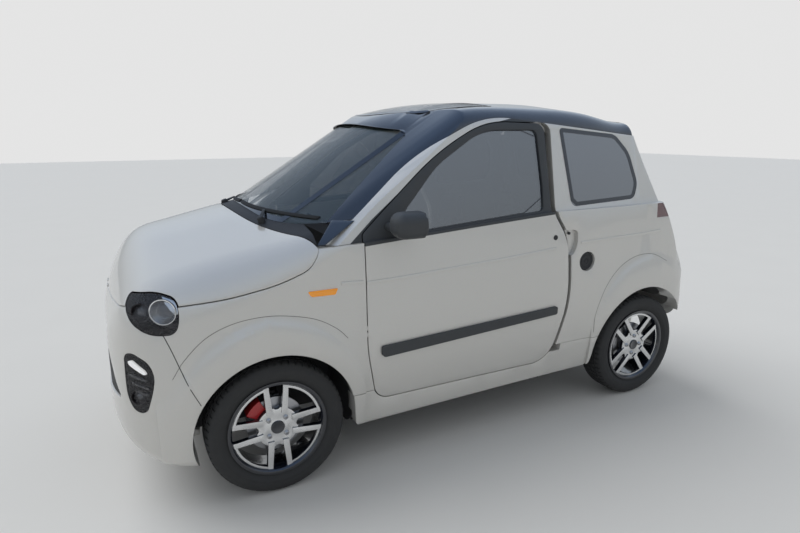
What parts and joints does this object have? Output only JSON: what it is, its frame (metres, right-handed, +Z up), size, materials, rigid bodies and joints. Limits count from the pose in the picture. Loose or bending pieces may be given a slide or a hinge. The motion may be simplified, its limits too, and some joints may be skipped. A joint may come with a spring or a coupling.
{
  "type": "microcar",
  "caption": "Short tall two-door microcar with bowed windscreen, black glazed roof, flared arches and twin-spoke alloy wheels; doors, bonnet, tailgate, steering and wheels move.",
  "frame": {"origin": "on the ground, below the middle of the car's length and width", "axes": "+X forward, +Y to the car's left, +Z up"},
  "size_m": [2.96, 1.76, 1.6075],
  "materials": {
    "body_paint": "pearl gloss",
    "gloss_black": "gloss",
    "clear_glass": "clear",
    "dark_glass": "privacy tint",
    "dark_plastic": "grained",
    "cabin_plastic": "grained",
    "tyre_rubber": "matt",
    "alloy": "machined and black",
    "underbody": "satin black",
    "cast_metal": "cast",
    "exhaust_metal": "dull",
    "lamp_lens": "clear lens",
    "tail_lens": "gloss",
    "seat_fabric": "woven"
  },
  "bodies": {
    "body": {"floor_pan": "underbody", "front_subframe": "underbody", "engine": "cast_metal", "rear_axle": "underbody", "fuel_tank": "dark_plastic", "exhaust": "exhaust_metal", "dashboard": "cabin_plastic", "front_bumper": "body_paint", "grille": "gloss_black", "fenders": "body_paint", "cowl": "dark_plastic", "windscreen": "clear_glass", "roof_frame": "body_paint", "roof_panel": "gloss_black", "roof_glass": "dark_glass", "quarter_panels": "body_paint", "quarter_glass": "dark_glass", "sills": "body_paint", "rear_bumper": "body_paint", "front_lamps": "lamp_lens", "tail_lamps": "tail_lens", "seats": "seat_fabric", "arch_liners": "dark_plastic"},
    "door_left": {"door_left": "body_paint", "door_glass_left": "clear_glass", "mirror_left": "dark_plastic", "moulding_left": "dark_plastic"},
    "door_right": {"door_right": "body_paint", "door_glass_right": "clear_glass", "mirror_right": "dark_plastic", "moulding_right": "dark_plastic"},
    "bonnet": {"bonnet": "body_paint"},
    "tailgate": {"tailgate": "body_paint", "tailgate_glass": "dark_glass"},
    "steering_wheel": {"steering_wheel": "cabin_plastic"},
    "knuckle_left": {"knuckle_left": "cast_metal"},
    "knuckle_right": {"knuckle_right": "cast_metal"},
    "wheel_front_left": {"tyre_front_left": "tyre_rubber", "rim_front_left": "alloy"},
    "wheel_front_right": {"tyre_front_right": "tyre_rubber", "rim_front_right": "alloy"},
    "wheel_rear_left": {"tyre_rear_left": "tyre_rubber", "rim_rear_left": "alloy"},
    "wheel_rear_right": {"tyre_rear_right": "tyre_rubber", "rim_rear_right": "alloy"}
  },
  "joints": [
    {"name": "door_left_hinge", "type": "hinge", "parent": "body", "child": "door_left", "pos_m": [0.5025, 0.739, 0.56], "axis": [0, 0, -1], "range_deg": [0, 65]},
    {"name": "door_right_hinge", "type": "hinge", "parent": "body", "child": "door_right", "pos_m": [0.5025, -0.739, 0.56], "axis": [0, 0, 1], "range_deg": [0, 65]},
    {"name": "bonnet_hinge", "type": "hinge", "parent": "body", "child": "bonnet", "pos_m": [1.458, 0, 0.8005], "axis": [0, 1, 0], "range_deg": [0, 55]},
    {"name": "tailgate_hinge", "type": "hinge", "parent": "body", "child": "tailgate", "pos_m": [-1.0825, 0, 1.5395], "axis": [0, 1, 0], "range_deg": [0, 78]},
    {"name": "steering_column", "type": "hinge", "parent": "body", "child": "steering_wheel", "pos_m": [0.215, 0.33, 0.9], "axis": [0.8829, 0, -0.4695], "range_deg": [-450, 450]},
    {"name": "steer_left", "type": "hinge", "parent": "body", "child": "knuckle_left", "pos_m": [0.888, 0.6, 0.2835], "axis": [0, 0, 1], "range_deg": [-30, 30]},
    {"name": "steer_right", "type": "hinge", "parent": "body", "child": "knuckle_right", "pos_m": [0.888, -0.6, 0.2835], "axis": [0, 0, 1], "range_deg": [-30, 30]},
    {"name": "roll_front_left", "type": "hinge", "parent": "knuckle_left", "child": "wheel_front_left", "pos_m": [0.888, 0.6425, 0.2835], "axis": [0, 1, 0], "continuous": true},
    {"name": "roll_front_right", "type": "hinge", "parent": "knuckle_right", "child": "wheel_front_right", "pos_m": [0.888, -0.6425, 0.2835], "axis": [0, 1, 0], "continuous": true},
    {"name": "roll_rear_left", "type": "hinge", "parent": "body", "child": "wheel_rear_left", "pos_m": [-1.142, 0.6425, 0.2835], "axis": [0, 1, 0], "continuous": true},
    {"name": "roll_rear_right", "type": "hinge", "parent": "body", "child": "wheel_rear_right", "pos_m": [-1.142, -0.6425, 0.2835], "axis": [0, 1, 0], "continuous": true}
  ],
  "couplings": [
    {"joint": "steer_left", "follows": "steering_column", "ratio": -0.066667},
    {"joint": "steer_right", "follows": "steering_column", "ratio": -0.066667}
  ]
}
